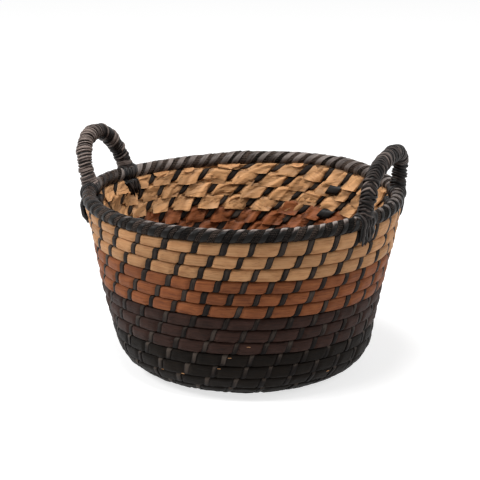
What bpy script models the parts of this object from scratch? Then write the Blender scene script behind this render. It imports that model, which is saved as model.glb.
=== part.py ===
"""Coiled basket with a wrapped rim and two hoop handles. Metres, +Z up.

The basket stands on its base with the origin at the middle of the underside. The handles stand
at the +X and -X sides and the front is -Y. One coil of bundled leaf runs from the knot in the
middle of the base to the rim, counter-clockwise as it climbs, and changes colour on the way.
"""

import math

import bmesh
import bpy
import numpy as np
from mathutils import Vector

# Rim
RIM_RADIUS = 0.163
RIM_HEIGHT = 0.1873
RIM_THICKNESS = 0.014
RIM_WRAPS = 72
WRAP_STARTS = 1
WRAP_RELIEF = 0.0006
RIM_SIDES = 8
RIM_END_AZIMUTH = math.radians(70)
RIM_END_GAP = 0.0006

# Wall and base, measured on the middle of the coil's thickness
WALL_LEAN = math.radians(12.2)
CORNER_RADIUS = 0.0425
COIL_PITCH = 0.0142
COIL_THICKNESS = 0.0115
COIL_SHOULDER = 0.72
FULL_WIDTH = 0.6  # share of the pitch above which a course keeps its whole thickness
FLAT_CUT = COIL_THICKNESS / 10
KNOT_RADIUS = 0.0055
KNOT_HEIGHT = 0.0103
KNOT_TAPER = 0.8
KNOT_SIDES = 14

# The azimuth of the coil's whole turns, the turn at which each piece of it starts, and the room
# under the rim at which it ends
TURN_AZIMUTH = math.radians(81)
TURN_POINTS = 24
COIL_STARTS = (
    ("base_coil", -10 / TURN_POINTS, "black_leaf"),
    ("foot_coil", 6, "black_leaf"),
    ("black_coil", 8.5, "black_leaf"),
    ("dark_brown_coil", 11, "dark_brown_leaf"),
    ("brown_coil", 14, "brown_leaf"),
    ("tan_coil", 17, "tan_leaf"),
)
END_ROOM = 0.0075

# The maker's hand: the courses lie a little askew, and the rim dips behind the left handle
FRONT_AZIMUTH = math.radians(-69)
COURSE_TILT = 0.007
TILT_STARTS = 0.085
TILT_FULL = 0.250
RIM_LOBES = (
    (math.radians(143), math.radians(62), -0.0047),
    (math.radians(73), math.radians(30), 0.0019),
)

# Handles: azimuth, half the angle between the feet, lean, rise and squareness of the hoop
HANDLES = {
    "right": (math.radians(2), math.radians(22.5), math.radians(9.5), 0.0535, 3.2),
    "left": (math.radians(178), math.radians(16), math.radians(17), 0.055, 2.3),
}
HOOP_STEPS = 240
HANDLE_THICKNESS = 0.0168
CORE_RADIUS = 0.0045
CORE_POINTS = 20
CORE_SIDES = 8
WINDING_LOOPS = 17
WINDING_POINTS = 8
LOOP_SHOULDER = 0.6  # share of the winding's thickness at which each loop starts to round over
LOOP_CROWN = (0.3, 0.7)
LOOP_GAP = 0.0008

# Lashings
LASHING_RADIUS = 0.0015
LASHING_DROP = 0.016
LASHING_FOOT_STEP = 0.0037
LASHING_STRANDS = 4
WALL_SHARES = (1.0, 0.55)  # where each strand bears on the wall, as shares of the drop
WALL_SPREAD = 0.8
RIM_ANGLES = (-20, 10, 40, 70)
SPREAD_AT_RIM = 0.55

# Clearances between pieces
COIL_GAP = 0.0005
SEAT_GAP = 0.0003
STRAND_GAP = 0.0006

SHARP_EDGE = math.radians(35)

COLOURS = {
    "black_leaf": (0.021, 0.017, 0.015, 0.7),
    "dark_brown_leaf": (0.046, 0.024, 0.020, 0.7),
    "brown_leaf": (0.235, 0.090, 0.036, 0.65),
    "tan_leaf": (0.470, 0.270, 0.130, 0.6),
    "rim_strip": (0.034, 0.028, 0.026, 0.45),
    "handle_cord": (0.060, 0.045, 0.040, 0.6),
    "cane": (0.180, 0.105, 0.055, 0.6),
    "lashing_strip": (0.030, 0.025, 0.024, 0.5),
}

WALL_TURN = math.pi / 2 - WALL_LEAN
BASE_HEIGHT = COIL_THICKNESS / 2 - FLAT_CUT
CORNER_HEIGHT = BASE_HEIGHT + CORNER_RADIUS
WALL_FOOT_HEIGHT = CORNER_HEIGHT - CORNER_RADIUS * math.cos(WALL_TURN)
WALL_RUN = (RIM_HEIGHT - WALL_FOOT_HEIGHT) * math.tan(WALL_LEAN)
FLAT_RADIUS = RIM_RADIUS - WALL_RUN - CORNER_RADIUS * math.sin(WALL_TURN)
WALL_START = FLAT_RADIUS + CORNER_RADIUS * WALL_TURN
RIM_CENTRE_LINE = WALL_START + (RIM_HEIGHT - WALL_FOOT_HEIGHT) / math.cos(WALL_LEAN)


def clear_scene():
    for item in list(bpy.data.objects):
        bpy.data.objects.remove(item, do_unlink=True)


def make_materials():
    materials = {}
    for name, (red, green, blue, roughness) in COLOURS.items():
        material = bpy.data.materials.new(name)
        material.use_nodes = True
        shader = material.node_tree.nodes["Principled BSDF"]
        shader.inputs["Base Color"].default_value = (red, green, blue, 1)
        shader.inputs["Roughness"].default_value = roughness
        shader.inputs["Metallic"].default_value = 0
        material.diffuse_color = (red, green, blue, 1)
        materials[name] = material
    return materials


def place(name, data, material):
    data.materials.append(material)
    item = bpy.data.objects.new(name, data)
    bpy.context.collection.objects.link(item)
    return item


def loft(name, rings, material):
    """A closed solid through rings of points, with flat ends."""
    shape = bmesh.new()
    loops = [[shape.verts.new(point) for point in ring] for ring in rings]
    for ring, following in zip(loops, loops[1:]):
        for i in range(len(ring)):
            j = (i + 1) % len(ring)
            shape.faces.new((ring[i], ring[j], following[j], following[i]))
    shape.faces.new(reversed(loops[0]))
    shape.faces.new(loops[-1])
    bmesh.ops.recalc_face_normals(shape, faces=shape.faces)
    return finish(name, shape, material)


def finish(name, shape, material):
    mesh = bpy.data.meshes.new(name)
    shape.to_mesh(mesh)
    shape.free()
    mesh.shade_smooth()
    mesh.set_sharp_from_angle(angle=SHARP_EDGE)
    return place(name, mesh, material)


def least_gap(rings, step):
    """Least distance between the points of each ring and of the rings one turn on."""
    points = np.array([[tuple(point) for point in ring] for ring in rings])
    least = math.inf
    for shift in (step - 1, step, step + 1):
        apart = points[shift:, :, None, :] - points[: len(points) - shift, None, :, :]
        if len(apart):
            least = min(least, float(np.linalg.norm(apart, axis=-1).min()))
    return least


def azimuth_of(turn):
    return TURN_AZIMUTH + 2 * math.pi * turn


def lobe(azimuth, centre, half_width):
    away = abs(math.remainder(azimuth - centre, 2 * math.pi))
    return math.cos(away / half_width * math.pi / 2) ** 2 if away < half_width else 0.0


def rim_drift(azimuth):
    """How far the rim lies above its mean height at an azimuth."""
    return sum(height * lobe(azimuth, centre, half) for centre, half, height in RIM_LOBES)


def course_line(turn):
    """Distance from the middle of the base, up the wall, of the coil's lower edge."""
    climb = COIL_PITCH * turn
    share = min(max((climb - TILT_STARTS) / (TILT_FULL - TILT_STARTS), 0.0), 1.0)
    across = math.sin(azimuth_of(turn) - FRONT_AZIMUTH)
    return climb - COURSE_TILT * share * across


def rim_line(azimuth):
    """Distance up the wall at which the rim's underside lies on the coil."""
    return RIM_CENTRE_LINE + rim_drift(azimuth) - RIM_THICKNESS / 2 - SEAT_GAP


def coil_end():
    """The turn at which the room left under the rim has shrunk to that of the coil's end."""
    step = round(COIL_STARTS[-1][1] * TURN_POINTS)
    while rim_line(azimuth_of(step / TURN_POINTS)) - course_line(step / TURN_POINTS) > END_ROOM:
        step += 1
    return step / TURN_POINTS


def wall_section(along, outward):
    """Radius and height of a point at a distance up the wall, pushed out of its middle."""
    if along < FLAT_RADIUS:
        return along, BASE_HEIGHT - outward
    angle = min((along - FLAT_RADIUS) / CORNER_RADIUS, WALL_TURN)
    reach = CORNER_RADIUS + outward
    radius = FLAT_RADIUS + reach * math.sin(angle)
    height = CORNER_HEIGHT - reach * math.cos(angle)
    up_wall = max(along - WALL_START, 0.0)
    return radius + up_wall * math.sin(WALL_LEAN), height + up_wall * math.cos(WALL_LEAN)


def around(azimuth, radius, height):
    return Vector((radius * math.cos(azimuth), radius * math.sin(azimuth), height))


def coil_edges(turn, end):
    """Lower and upper edge of the coil, which lies under its own next turn or under the rim."""
    lower = max(course_line(turn), KNOT_RADIUS)
    if turn <= end - 1:
        return lower + COIL_GAP / 2, course_line(turn + 1) - COIL_GAP / 2
    return lower + COIL_GAP / 2, rim_line(azimuth_of(turn)) - COIL_GAP / 2


def coil_ring(turn, end):
    """The coil's six-sided section: barrel faces in and out, flat against its neighbours."""
    lower, upper = coil_edges(turn, end)
    middle = (lower + upper) / 2
    ridge = COIL_THICKNESS / 2 * min((upper - lower) / (FULL_WIDTH * COIL_PITCH), 1.0)
    shoulder = ridge * COIL_SHOULDER
    corners = (
        (lower, shoulder),
        (middle, ridge),
        (upper, shoulder),
        (upper, -shoulder),
        (middle, -ridge),
        (lower, -shoulder),
    )
    azimuth = azimuth_of(turn)
    return [around(azimuth, *wall_section(along, outward)) for along, outward in corners]


def coil_rings(first, last, end):
    """Rings at every 24th of a turn, with the ends drawn back for the next piece."""
    start, stop = round(first * TURN_POINTS), round(last * TURN_POINTS)
    turns = [step / TURN_POINTS for step in range(start, stop + 1)]
    for index, sign in ((0, 1), (-1, -1)):
        radius = max(wall_section(course_line(turns[index]), 0)[0], KNOT_RADIUS)
        turns[index] += sign * SEAT_GAP / (2 * math.pi * radius)
    return [coil_ring(turn, end) for turn in turns]


def make_knot(material):
    """The knot that the coil starts round."""
    shape = bmesh.new()
    radius = KNOT_RADIUS - SEAT_GAP
    bmesh.ops.create_cone(
        shape,
        cap_ends=True,
        segments=KNOT_SIDES,
        radius1=radius,
        radius2=radius * KNOT_TAPER,
        depth=KNOT_HEIGHT,
    )
    bmesh.ops.translate(shape, verts=shape.verts, vec=(0, 0, KNOT_HEIGHT / 2))
    return finish("centre_knot", shape, material)


def make_floor_cutter():
    """A slab below the floor, which cuts the coil's underside flat."""
    shape = bmesh.new()
    bmesh.ops.create_cube(shape, size=1)
    bmesh.ops.scale(shape, vec=(4 * RIM_RADIUS, 4 * RIM_RADIUS, COIL_THICKNESS), verts=shape.verts)
    bmesh.ops.translate(shape, verts=shape.verts, vec=(0, 0, -COIL_THICKNESS / 2))
    mesh = bpy.data.meshes.new("floor_cutter")
    shape.to_mesh(mesh)
    shape.free()
    cutter = bpy.data.objects.new("floor_cutter", mesh)
    bpy.context.collection.objects.link(cutter)
    cutter.hide_render = True
    cutter.display_type = "WIRE"
    return cutter


def make_coils(materials):
    """The basket's body: one coil, in a piece for each colour and for the base and the foot."""
    cutter = make_floor_cutter()
    end = coil_end()
    lasts = [first for _, first, _ in COIL_STARTS[1:]] + [end]
    for (name, first, material), last in zip(COIL_STARTS, lasts):
        rings = coil_rings(first, last, end)
        coil = loft(name, rings, materials[material])
        print(f"{name}: least gap to itself {1000 * least_gap(rings, TURN_POINTS):.2f} mm")
        if COIL_PITCH * first < FLAT_RADIUS:
            flat = coil.modifiers.new("flat_underside", "BOOLEAN")
            flat.operation = "DIFFERENCE"
            flat.object = cutter


def rim_point(azimuth, angle, radius):
    """A point on a circle round the rim's middle; angle 0 faces out and a quarter turn up."""
    reach = RIM_RADIUS + radius * math.cos(angle)
    return around(azimuth, reach, RIM_HEIGHT + rim_drift(azimuth) + radius * math.sin(angle))


def make_rim(material):
    """The rim coil, ribbed by its wraps. The wraps climb outside and go on down inside, so
    each row of faces under the rim joins a ring to the one that lies a lead further on."""
    step = 2 * math.pi / (2 * RIM_WRAPS)
    lead = 2 * WRAP_STARTS
    shape = bmesh.new()
    grid = []
    for index in range(2 * RIM_WRAPS + 1):
        radius = RIM_THICKNESS / 2 - (WRAP_RELIEF if index % 2 else 0)
        start = RIM_END_AZIMUTH + index * step
        if index == 2 * RIM_WRAPS:
            start -= RIM_END_GAP / RIM_RADIUS
        ring = []
        for side in range(RIM_SIDES):
            turn = side / RIM_SIDES
            angle = -math.pi / 2 + 2 * math.pi * turn
            ring.append(shape.verts.new(rim_point(start + turn * lead * step, angle, radius)))
        grid.append(ring)
    last, rows = RIM_SIDES - 1, len(grid) - 1
    for ring, following in zip(grid, grid[1:]):
        for side in range(last):
            shape.faces.new((ring[side], following[side], following[side + 1], ring[side + 1]))
    for index in range(rows - lead):
        near, far = grid[index], grid[index + lead]
        beyond = grid[index + lead + 1]
        shape.faces.new((near[last], grid[index + 1][last], beyond[0], far[0]))
    shape.faces.new(grid[0] + [grid[index][0] for index in range(lead, 0, -1)])
    shape.faces.new(grid[rows] + [grid[index][last] for index in range(rows - 1, rows - lead - 1, -1)])
    bmesh.ops.recalc_face_normals(shape, faces=shape.faces)
    return finish("rim_coil", shape, material)


class Hoop:
    """The middle line of a handle: half a squared ellipse in a plane that leans out."""

    def __init__(self, azimuth, half_angle, lean, rise, squareness):
        out = around(azimuth, 1, 0)
        half_width = RIM_RADIUS * math.sin(half_angle)
        foot = around(azimuth, RIM_RADIUS * math.cos(half_angle), RIM_HEIGHT)
        self.along = around(azimuth + math.pi / 2, 1, 0)
        self.up = Vector((0, 0, math.cos(lean))) + out * math.sin(lean)
        self.across = self.along.cross(self.up)
        self.points = []
        for step in range(HOOP_STEPS + 1):
            angle = math.pi * step / HOOP_STEPS
            side = math.copysign(abs(math.cos(angle)) ** (2 / squareness), -math.cos(angle))
            height = rise * math.sin(angle) ** (2 / squareness)
            drift = rim_drift(azimuth + side * half_angle) * Vector((0, 0, 1))
            self.points.append(foot + drift + self.along * side * half_width + self.up * height)
        self.reached = [0.0]
        for point, following in zip(self.points, self.points[1:]):
            self.reached.append(self.reached[-1] + (following - point).length)
        self.length = self.reached[-1]

    def at(self, distance):
        columns = zip(*self.points)
        return Vector([float(np.interp(distance, self.reached, column)) for column in columns])

    def tube_point(self, distance, angle, radius):
        """A point on a tube round the hoop; angle 0 faces inwards over the basket."""
        reach = 2 * self.length / HOOP_STEPS
        ahead = self.at(min(distance + reach, self.length)) - self.at(max(distance - reach, 0.0))
        outer = ahead.normalized().cross(self.across)
        return self.at(distance) + radius * (math.cos(angle) * self.across + math.sin(angle) * outer)


def make_core(side, hoop, material):
    """The bent cane inside the winding, which stands on the rim at both feet."""
    seat = RIM_THICKNESS / 2 + SEAT_GAP
    span = hoop.length - 2 * seat
    rings = []
    for step in range(CORE_POINTS + 1):
        distance = seat + span * step / CORE_POINTS
        angles = [2 * math.pi * corner / CORE_SIDES for corner in range(CORE_SIDES)]
        rings.append([hoop.tube_point(distance, angle, CORE_RADIUS) for angle in angles])
    return loft(f"{side}_handle_core", rings, material)


def make_winding(side, hoop, material):
    """The cord wound round the cane, as one flattened strip that tapers square at each foot."""
    inner = CORE_RADIUS / math.cos(math.pi / WINDING_POINTS) + STRAND_GAP
    outer = HANDLE_THICKNESS / 2
    shoulder = inner + LOOP_SHOULDER * (outer - inner)
    foot = RIM_THICKNESS / 2 + 4 * SEAT_GAP
    pitch = (hoop.length - 2 * foot) / (WINDING_LOOPS - 1)
    crown = [(share, outer) for share in LOOP_CROWN]
    profile = [(0, inner), (0, shoulder), *crown, (1, shoulder), (1, inner)]
    rings = []
    for step in range(1, WINDING_LOOPS * WINDING_POINTS):
        angle = 2 * math.pi * step / WINDING_POINTS
        wound = foot + pitch * step / WINDING_POINTS
        lower = max(wound - pitch + LOOP_GAP / 2, foot)
        upper = min(wound - LOOP_GAP / 2, hoop.length - foot)
        ring = [(lower + (upper - lower) * share, radius) for share, radius in profile]
        rings.append([hoop.tube_point(distance, angle, radius) for distance, radius in ring])
    gap = least_gap(rings, WINDING_POINTS)
    print(f"{side}_handle_winding: least gap to itself {1000 * gap:.2f} mm")
    return loft(f"{side}_handle_winding", rings, material)


def facet(azimuth):
    """Share of the radius at which the coil's straight facets lie between their corners."""
    step = 2 * math.pi / TURN_POINTS
    off = (azimuth - TURN_AZIMUTH) % step - step / 2
    return math.cos(step / 2) / math.cos(off)


def make_lashing(name, foot_azimuth, offset_top, offset_foot, material):
    """A strand from the outside of the wall, up over the rim beside a handle's foot, and down
    to the inside of the wall."""
    clear = LASHING_RADIUS + STRAND_GAP
    on_wall = COIL_THICKNESS / 2 + clear
    on_rim = RIM_THICKNESS / 2 + clear
    edge = RIM_CENTRE_LINE + rim_drift(foot_azimuth)
    points = []
    for face in (1, -1):
        leg = []
        for share in WALL_SHARES:
            offset = offset_foot + (offset_top - offset_foot) * (1 - share) * WALL_SPREAD
            azimuth = foot_azimuth + offset / RIM_RADIUS
            along = edge - RIM_THICKNESS / 2 - share * LASHING_DROP
            radius, height = wall_section(along, face * on_wall)
            leg.append(around(azimuth, radius * (1 if face > 0 else facet(azimuth)), height))
        for degrees in RIM_ANGLES:
            rise = (degrees - RIM_ANGLES[0]) / (RIM_ANGLES[-1] - RIM_ANGLES[0])
            spread = SPREAD_AT_RIM + (1 - SPREAD_AT_RIM) * rise
            offset = offset_foot + (offset_top - offset_foot) * spread
            angle = math.radians(degrees if face > 0 else 180 - degrees)
            leg.append(rim_point(foot_azimuth + offset / RIM_RADIUS, angle, on_rim))
        points += leg if face > 0 else leg[::-1]
    curve = bpy.data.curves.new(name, "CURVE")
    curve.dimensions = "3D"
    curve.bevel_depth = LASHING_RADIUS
    curve.bevel_resolution = 1
    curve.use_fill_caps = True
    spline = curve.splines.new("POLY")
    spline.points.add(len(points) - 1)
    for knot, point in zip(spline.points, points):
        knot.co = (*point, 1)
    return place(name, curve, material)


def make_lashings(side, azimuth, half_angle, material):
    """Four strands at each foot, two on either side of the handle's leg."""
    beside_leg = HANDLE_THICKNESS / 2 + LASHING_RADIUS + STRAND_GAP
    spacing = 2 * LASHING_RADIUS + STRAND_GAP
    tops = (-beside_leg - spacing, -beside_leg, beside_leg, beside_leg + spacing)
    front = -1 if side == "right" else 1
    for end, direction in (("front", front), ("back", -front)):
        foot = azimuth + direction * half_angle
        for number, top in enumerate(tops):
            low = (number - (LASHING_STRANDS - 1) / 2) * LASHING_FOOT_STEP
            make_lashing(f"{side}_{end}_lashing_{number + 1}", foot, top, low, material)


def make_handles(materials):
    for side, shape in HANDLES.items():
        hoop = Hoop(*shape)
        make_core(side, hoop, materials["cane"])
        make_winding(side, hoop, materials["handle_cord"])
        make_lashings(side, shape[0], shape[1], materials["lashing_strip"])


clear_scene()
MATERIALS = make_materials()
make_knot(MATERIALS["black_leaf"])
make_coils(MATERIALS)
make_rim(MATERIALS["rim_strip"])
make_handles(MATERIALS)
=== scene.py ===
"""The look of the coiled basket: leaf, sewing strips, wrapped rim and wound handles."""
import math

import bpy
import numpy as np
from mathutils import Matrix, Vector


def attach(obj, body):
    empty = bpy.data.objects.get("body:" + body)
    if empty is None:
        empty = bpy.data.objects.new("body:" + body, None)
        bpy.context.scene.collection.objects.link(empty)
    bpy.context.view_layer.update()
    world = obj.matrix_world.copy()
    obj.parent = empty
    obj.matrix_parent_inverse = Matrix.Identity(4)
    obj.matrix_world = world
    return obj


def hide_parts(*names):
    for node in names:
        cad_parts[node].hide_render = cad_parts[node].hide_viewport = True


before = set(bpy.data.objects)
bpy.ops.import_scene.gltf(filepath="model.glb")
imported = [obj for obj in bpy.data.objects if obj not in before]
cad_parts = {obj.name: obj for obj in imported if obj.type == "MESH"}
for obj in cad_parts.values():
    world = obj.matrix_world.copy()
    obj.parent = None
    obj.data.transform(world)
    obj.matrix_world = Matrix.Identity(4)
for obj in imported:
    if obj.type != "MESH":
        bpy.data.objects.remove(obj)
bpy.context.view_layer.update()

RNG = np.random.default_rng(20)
CIRCLE = 2 * math.pi
VIEW_AZIMUTH = 21  # degrees round from the front, from where the photo was taken

# The solids' own measures, in metres
RIM_RADIUS = 0.163
RIM_HEIGHT = 0.1873
RIM_THICKNESS = 0.014
WALL_LEAN = math.radians(12.2)
CORNER_RADIUS = 0.0425
COIL_PITCH = 0.0142
COIL_THICKNESS = 0.0115
KNOT_RADIUS = 0.0055
TURN_AZIMUTH = math.radians(81)
COIL_START = -10 / 24
COIL_END = 20.15
FRONT_AZIMUTH = math.radians(-69)
COURSE_TILT = 0.007
TILT_STARTS = 0.085
TILT_FULL = 0.250
RIM_LOBES = (  # azimuth, half width and height of each dip and rise of the rim
    (math.radians(143), math.radians(62), -0.0047),
    (math.radians(73), math.radians(30), 0.0019),
)
RIM_END_AZIMUTH = math.radians(70)
RIM_BITE = 0.0012  # how far the rim presses into the leaf under it
HANDLE_THICKNESS = 0.0168
HANDLES = {  # azimuth, half angle, lean, rise, squareness, how far the top has settled
    "right": (math.radians(2), math.radians(22.5), math.radians(9.5), 0.0535, 3.2, -0.0014),
    "left": (math.radians(178), math.radians(16), math.radians(17), 0.055, 2.3, -0.0024),
}
SETTLING = (0.93, 0.36, 0.0)  # direction in which the settling is measured
WALL_SWELLS = (  # azimuth, distance up the wall, half widths of both, push
    (math.radians(200), 0.205, math.radians(60), 0.075, 0.0019),
    (math.radians(250), 0.120, math.radians(50), 0.035, -0.0010),
    (math.radians(12), 0.135, math.radians(45), 0.035, 0.0020),
    (math.radians(20), 0.250, math.radians(45), 0.040, 0.0008),
)

WALL_TURN = math.pi / 2 - WALL_LEAN
BASE_HEIGHT = COIL_THICKNESS * 0.4
CORNER_HEIGHT = BASE_HEIGHT + CORNER_RADIUS
WALL_FOOT_HEIGHT = CORNER_HEIGHT - CORNER_RADIUS * math.cos(WALL_TURN)
WALL_RUN = (RIM_HEIGHT - WALL_FOOT_HEIGHT) * math.tan(WALL_LEAN)
FLAT_RADIUS = RIM_RADIUS - WALL_RUN - CORNER_RADIUS * math.sin(WALL_TURN)
WALL_START = FLAT_RADIUS + CORNER_RADIUS * WALL_TURN
RIM_CENTRE_LINE = WALL_START + (RIM_HEIGHT - WALL_FOOT_HEIGHT) / math.cos(WALL_LEAN)
TAPER_HEIGHT = 0.6 * COIL_PITCH  # a course lower than this is thinner too

# Sewing: (turn of the coil, number of the strip that crosses the middle of its outside there)
STRIP_ANCHORS = np.array((
    (8.457, 110), (8.572, 113), (9.396, 137), (9.585, 142), (9.675, 145), (10.559, 170),
    (10.657, 173), (11.390, 194), (11.575, 199), (11.731, 204), (12.650, 231), (12.710, 233),
    (13.491, 257), (13.634, 261), (13.726, 264), (14.506, 288), (14.579, 290), (15.519, 319),
    (15.540, 320), (15.625, 323), (16.045, 336), (16.502, 350), (16.610, 354), (16.701, 357),
    (16.727, 358), (17.391, 378), (17.446, 380), (17.512, 382), (17.593, 385), (18.002, 398),
    (18.175, 403), (18.202, 404), (18.403, 410), (18.667, 419), (18.957, 428), (18.981, 429),
    (19.183, 435), (19.535, 446), (19.678, 451), (19.914, 459), (19.996, 462), (20.200, 468),
)).T
FIRST_TURN, FIRST_STRIP = STRIP_ANCHORS[:, 0]
BASE_SHIFT = 0.45  # below the first anchor the strips lie evenly along the coil
BASE_RATE = FIRST_STRIP / (FIRST_TURN + BASE_SHIFT) ** 2
COILS = (
    ("base", COIL_START, "black_leaf"),
    ("foot", 6, "black_leaf"),
    ("black", 8.5, "black_leaf"),
    ("dark_brown", 11, "dark_brown_leaf"),
    ("brown", 14, "brown_leaf"),
    ("tan", 17, "tan_leaf"),
)


def srgb(red, green, blue):
    """Linear colour of a display colour given in 0 to 255."""
    return tuple(
        c / 12.92 if c <= 0.04045 else ((c + 0.055) / 1.055) ** 2.4
        for c in (red / 255, green / 255, blue / 255)
    )


def smooth(low, high, value):
    share = np.clip((value - low) / (high - low), 0, 1)
    return share * share * (3 - 2 * share)


def waves(points, scale, seed, octaves=14):
    """A smooth uneven value of about -1 to 1 at each point."""
    draw = np.random.default_rng(seed)
    total = np.zeros(points.shape[:-1])
    for _ in range(octaves):
        direction = draw.normal(size=points.shape[-1])
        total += np.sin(points @ direction * scale + draw.uniform(0, CIRCLE))
    return total / math.sqrt(octaves / 2)


def angle_between(first, second):
    return np.abs((first - second + math.pi) % CIRCLE - math.pi)


# Shape of the wall
def azimuth_of(turn):
    return TURN_AZIMUTH + CIRCLE * turn


def rim_drift(azimuth):
    """How far the rim lies above its level place."""
    drift = 0.0
    for centre, half_width, height in RIM_LOBES:
        away = angle_between(azimuth, centre) / half_width
        drift = drift + height * np.cos(np.minimum(away, 1) * math.pi / 2) ** 2
    return drift


def course_line(turn):
    climb = COIL_PITCH * turn
    share = np.clip((climb - TILT_STARTS) / (TILT_FULL - TILT_STARTS), 0, 1)
    return climb - COURSE_TILT * share * np.sin(azimuth_of(turn) - FRONT_AZIMUTH)


def coil_edges(turn):
    """Distances up the wall at which the coil's underside and top side lie."""
    lower = np.maximum(course_line(turn), KNOT_RADIUS)
    under_rim = RIM_CENTRE_LINE + rim_drift(azimuth_of(turn)) - RIM_THICKNESS / 2 + RIM_BITE
    return lower, np.where(turn <= COIL_END - 1, course_line(turn + 1), under_rim)


def half_thickness(lower, upper):
    return COIL_THICKNESS / 2 * np.minimum((upper - lower) / TAPER_HEIGHT, 1)


def wall_swell(azimuth, along):
    """The hand-built wall is a little fuller at some places and flatter at others."""
    push = 0.0
    for centre, height, half_turn, half_run, depth in WALL_SWELLS:
        aside = np.minimum(angle_between(azimuth, centre) / half_turn, 1)
        above = np.minimum(np.abs(along - height) / half_run, 1)
        near = np.cos(aside * math.pi / 2) * np.cos(above * math.pi / 2)
        push = push + depth * near**2
    return push


def on_wall(azimuth, along, outward):
    """Points at a distance up the wall, pushed out of its middle."""
    outward = outward + wall_swell(azimuth, along)
    angle = np.clip((along - FLAT_RADIUS) / CORNER_RADIUS, 0, WALL_TURN)
    reach = CORNER_RADIUS + outward
    up_wall = np.maximum(along - WALL_START, 0)
    radius = FLAT_RADIUS + reach * np.sin(angle) + up_wall * math.sin(WALL_LEAN)
    height = CORNER_HEIGHT - reach * np.cos(angle) + up_wall * math.cos(WALL_LEAN)
    radius = np.where(along < FLAT_RADIUS, along, radius)
    height = np.maximum(np.where(along < FLAT_RADIUS, BASE_HEIGHT - outward, height), 0)
    return np.stack((radius * np.cos(azimuth), radius * np.sin(azimuth), height), -1)


def strip_number(turn):
    turn = np.asarray(turn, float)
    return np.where(turn < FIRST_TURN, BASE_RATE * (turn + BASE_SHIFT) ** 2, np.interp(turn, *STRIP_ANCHORS))


def turn_of(number):
    number = np.asarray(number, float)
    below = np.sqrt(np.maximum(number, 0) / BASE_RATE) - BASE_SHIFT
    return np.where(number < FIRST_STRIP, below, np.interp(number, *STRIP_ANCHORS[::-1]))


def strip_near(turn):
    """Number of the strip nearest to a turn of the coil."""
    return round(float(strip_number(turn)))


LAST_STRIP = int(strip_number(COIL_END)) + 3


# Mesh building
def add_piece(name, points, faces, material, slot, replaces=(), sharp=None, **attributes):
    """A named piece that rides on the basket, with values stored for its material."""
    mesh = bpy.data.meshes.new(name)
    mesh.from_pydata(points.tolist(), [], faces)
    for key, values in attributes.items():
        if np.ndim(values) == 2:
            layer = mesh.attributes.new(key, "FLOAT_VECTOR", "POINT")
            layer.data.foreach_set("vector", values.astype(np.float32).ravel())
        else:
            layer = mesh.attributes.new(key, "FLOAT", "POINT")
            layer.data.foreach_set("value", np.broadcast_to(values, len(points)).astype(np.float32))
    mesh.materials.append(material)
    mesh.shade_smooth()
    if sharp:
        mesh.set_sharp_from_angle(angle=math.radians(sharp))
    mesh.validate()
    piece = bpy.data.objects.new(name, mesh)
    bpy.context.collection.objects.link(piece)
    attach(piece, "root")
    if replaces:
        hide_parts(*replaces)


def tube_faces(rows, columns, lead=0):
    """Faces of a closed tube of rings, whose last column joins its first one a lead further on."""
    def at(row, column):
        return row * columns + column

    end, last = rows - 1, columns - 1
    faces = []
    for row in range(end):
        for column in range(last):
            faces.append((at(row, column), at(row, column + 1), at(row + 1, column + 1), at(row + 1, column)))
        if row + lead < end:
            faces.append((at(row, last), at(row + lead, 0), at(row + lead + 1, 0), at(row + 1, last)))
    start_cap = [at(0, column) for column in range(columns)] + [at(row, 0) for row in range(lead, 0, -1)]
    end_cap = [at(end, column) for column in range(columns)]
    end_cap += [at(end - row, last) for row in range(1, lead + 1)]
    return faces + [tuple(start_cap[::-1]), tuple(end_cap)]


def sheet_faces(columns, rows):
    """Faces of a thin sheet: a front grid, a back grid after it, and the edge between them."""
    def at(i, j, back=0):
        return back * columns * rows + i * rows + j

    faces = []
    for i in range(columns - 1):
        for j in range(rows - 1):
            faces.append((at(i, j), at(i, j + 1), at(i + 1, j + 1), at(i + 1, j)))
            faces.append((at(i, j, 1), at(i + 1, j, 1), at(i + 1, j + 1, 1), at(i, j + 1, 1)))
    edge = [(i, 0) for i in range(columns)] + [(columns - 1, j) for j in range(1, rows)]
    edge += [(i, rows - 1) for i in range(columns - 2, -1, -1)] + [(0, j) for j in range(rows - 2, 0, -1)]
    for (i, j), (k, m) in zip(edge, edge[1:] + edge[:1]):
        faces.append((at(i, j), at(k, m), at(k, m, 1), at(i, j, 1)))
    return faces


def grain_of(across, along, number):
    """Places in a material's pattern, in metres, and a number that sets one strip off from the next."""
    return np.stack(np.broadcast_arrays(across, along, number), -1).reshape(-1, 3)


STRIP_CREASE = 50  # degrees between two faces from which an edge looks sharp
GRAIN_STEP = 0.37


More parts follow.
